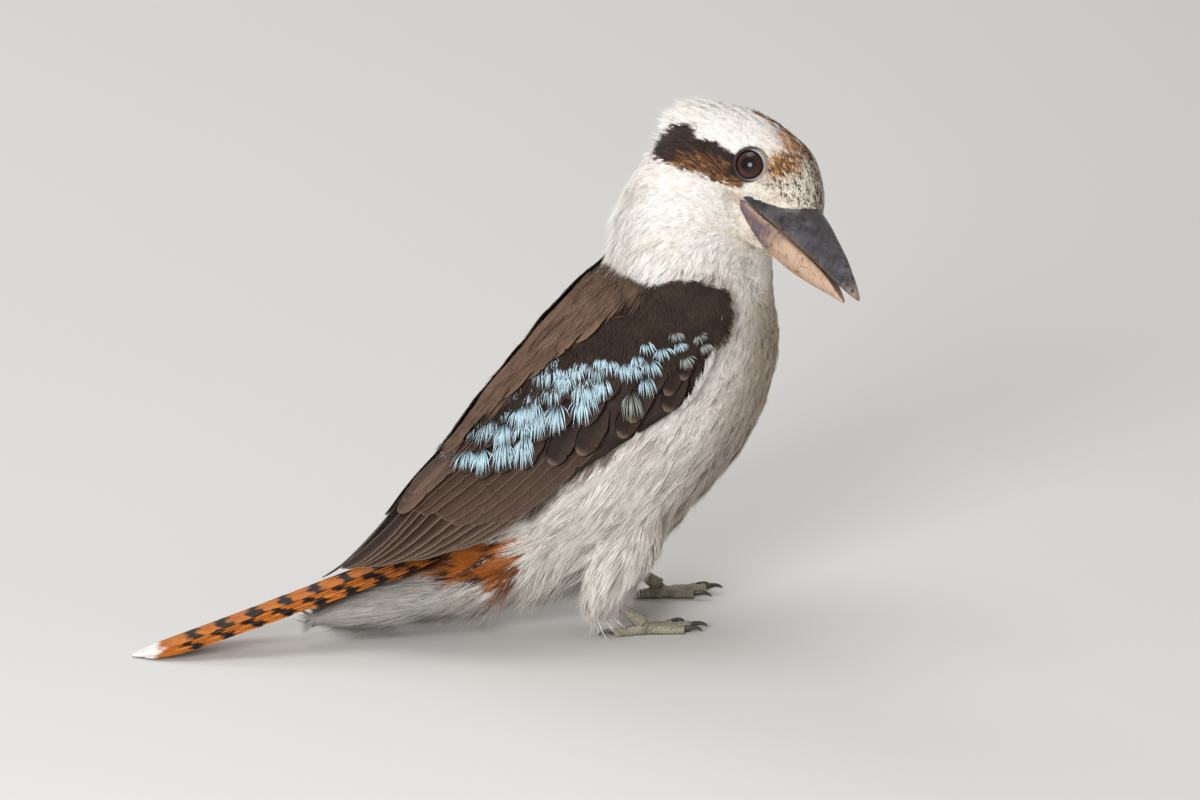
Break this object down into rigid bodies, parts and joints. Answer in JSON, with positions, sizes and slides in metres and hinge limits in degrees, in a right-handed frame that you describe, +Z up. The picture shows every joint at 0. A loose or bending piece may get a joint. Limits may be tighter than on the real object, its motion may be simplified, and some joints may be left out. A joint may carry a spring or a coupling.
{
  "type": "laughing kookaburra",
  "caption": "Life-size still model of a laughing kookaburra standing on the ground with its head turned to its right, its tail tip resting on the floor.",
  "frame": {"origin": "middle of the model's box on the floor", "axes": "+X the way the body heads, +Y the bird's left, +Z up"},
  "size_m": [0.306, 0.1366, 0.2285],
  "materials": {
    "body_feathers": "soft off-white breast and belly feathers with fine grey-buff streaks, dark brown mantle",
    "white_feathers": "soft, slightly warm white feathers",
    "head_feathers": "warm white with a dark brown eye stripe and a brown and orange crown stripe",
    "rump_feathers": "rufous feathers with black bars",
    "bill_dark": "blue-black horn, satin, worn and flecked",
    "bill_horn": "pale horn with a mauve-grey base, satin",
    "eye": "wet, dark red-brown iris with a black pupil",
    "wing_feathers": "dark brown feathers with pale fringes and azure tips",
    "tail_feathers": "rufous feathers with black bars and white tips",
    "leg_skin": "greyish yellow-olive scales, matt",
    "claw": "dark horn, satin"
  },
  "bodies": {
    "root": {"torso": "body_feathers", "neck": "white_feathers", "head": "head_feathers", "rump": "rump_feathers", "undertail": "white_feathers", "bill_upper": "bill_dark", "bill_lower": "bill_horn", "eye_right": "eye", "eye_left": "eye", "wing_right": "wing_feathers", "wing_left": "wing_feathers", "tail": "tail_feathers", "thigh_right": "white_feathers", "thigh_left": "white_feathers", "shank_right": "leg_skin", "shank_left": "leg_skin", "foot_right": "leg_skin", "foot_left": "leg_skin", "claw_right_inner": "claw", "claw_right_middle": "claw", "claw_right_outer": "claw", "claw_right_hind": "claw", "claw_left_inner": "claw", "claw_left_middle": "claw", "claw_left_outer": "claw", "claw_left_hind": "claw"}
  },
  "joints": []
}
